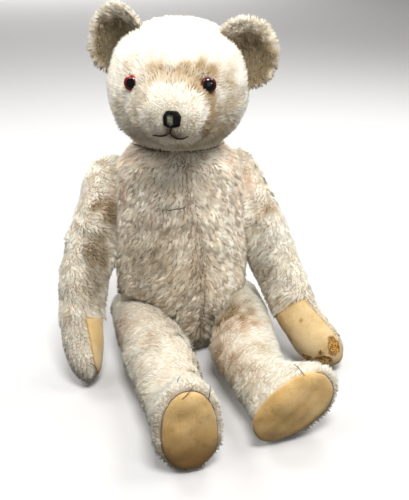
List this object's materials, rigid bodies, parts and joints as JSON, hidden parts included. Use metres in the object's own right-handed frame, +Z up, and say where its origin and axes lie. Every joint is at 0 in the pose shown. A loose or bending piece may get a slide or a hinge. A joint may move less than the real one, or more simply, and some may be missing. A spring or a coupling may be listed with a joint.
{
  "type": "jointed teddy bear",
  "caption": "Large old jointed teddy bear of worn cream mohair, sitting, with glass eyes, stitched nose and worn felt pads",
  "frame": {"origin": "on the floor the bear sits on, under the middle of the line between its hip joints", "axes": "+X towards the bear's left, -Y the way its chest faces, +Z up"},
  "size_m": [0.35, 0.3728, 0.4389],
  "materials": {
    "mohair": "worn cream mohair pile on a woven cotton back",
    "wood_wool": "packed fine wood shavings",
    "felt": "worn golden tan wool felt",
    "hardboard": "plain brown hardboard",
    "steel": "dull",
    "eye_glass": "polished amber red with a black pupil",
    "black_thread": "waxed cotton"
  },
  "bodies": {
    "torso": {"torso_cover": "mohair", "torso_stuffing": "wood_wool", "neck_disc": "hardboard", "neck_washer": "steel", "neck_pin": "steel", "shoulder_right_disc": "hardboard", "shoulder_right_washer": "steel", "shoulder_right_pin": "steel", "hip_right_disc": "hardboard", "hip_right_washer": "steel", "hip_right_pin": "steel", "shoulder_left_disc": "hardboard", "shoulder_left_washer": "steel", "shoulder_left_pin": "steel", "hip_left_disc": "hardboard", "hip_left_washer": "steel", "hip_left_pin": "steel"},
    "head": {"head_cover": "mohair", "head_stuffing": "wood_wool", "ear_right": "mohair", "ear_left": "mohair", "eye_right": "eye_glass", "eye_left": "eye_glass", "eye_right_shank": "steel", "eye_left_shank": "steel", "nose_stitching": "black_thread", "mouth_stitching": "black_thread", "head_disc": "hardboard", "head_washer": "steel"},
    "arm_right": {"arm_right_cover": "mohair", "arm_right_stuffing": "wood_wool", "arm_right_disc": "hardboard", "arm_right_washer": "steel", "paw_right_pad": "felt", "paw_right_claw_1": "black_thread"},
    "arm_left": {"arm_left_cover": "mohair", "arm_left_stuffing": "wood_wool", "arm_left_disc": "hardboard", "arm_left_washer": "steel", "paw_left_pad": "felt"},
    "leg_right": {"leg_right_cover": "mohair", "leg_right_stuffing": "wood_wool", "leg_right_disc": "hardboard", "leg_right_washer": "steel", "foot_right_pad": "felt", "foot_right_claw_1": "black_thread", "foot_right_claw_2": "black_thread", "foot_right_claw_3": "black_thread"},
    "leg_left": {"leg_left_cover": "mohair", "leg_left_stuffing": "wood_wool", "leg_left_disc": "hardboard", "leg_left_washer": "steel", "foot_left_pad": "felt", "foot_left_claw_1": "black_thread"}
  },
  "joints": [
    {"name": "neck_swivel", "type": "hinge", "parent": "torso", "child": "head", "pos_m": [-0.008, 0, 0.276], "axis": [0, 0, 1], "continuous": true},
    {"name": "shoulder_right_swing", "type": "hinge", "parent": "torso", "child": "arm_right", "pos_m": [-0.06882, 0.02789, 0.213], "axis": [0.9063, -0.4226, 0], "range_deg": [-90, 10]},
    {"name": "shoulder_left_swing", "type": "hinge", "parent": "torso", "child": "arm_left", "pos_m": [0.05082, 0.02789, 0.213], "axis": [0.9063, 0.4226, 0], "range_deg": [-90, 3]},
    {"name": "hip_right_swing", "type": "hinge", "parent": "torso", "child": "leg_right", "pos_m": [-0.046, -0.003, 0.041], "axis": [0.9976, 0.0698, 0], "range_deg": [0, 90]},
    {"name": "hip_left_swing", "type": "hinge", "parent": "torso", "child": "leg_left", "pos_m": [0.046, -0.003, 0.041], "axis": [0.9954, -0.0958, 0], "range_deg": [0, 90]}
  ]
}
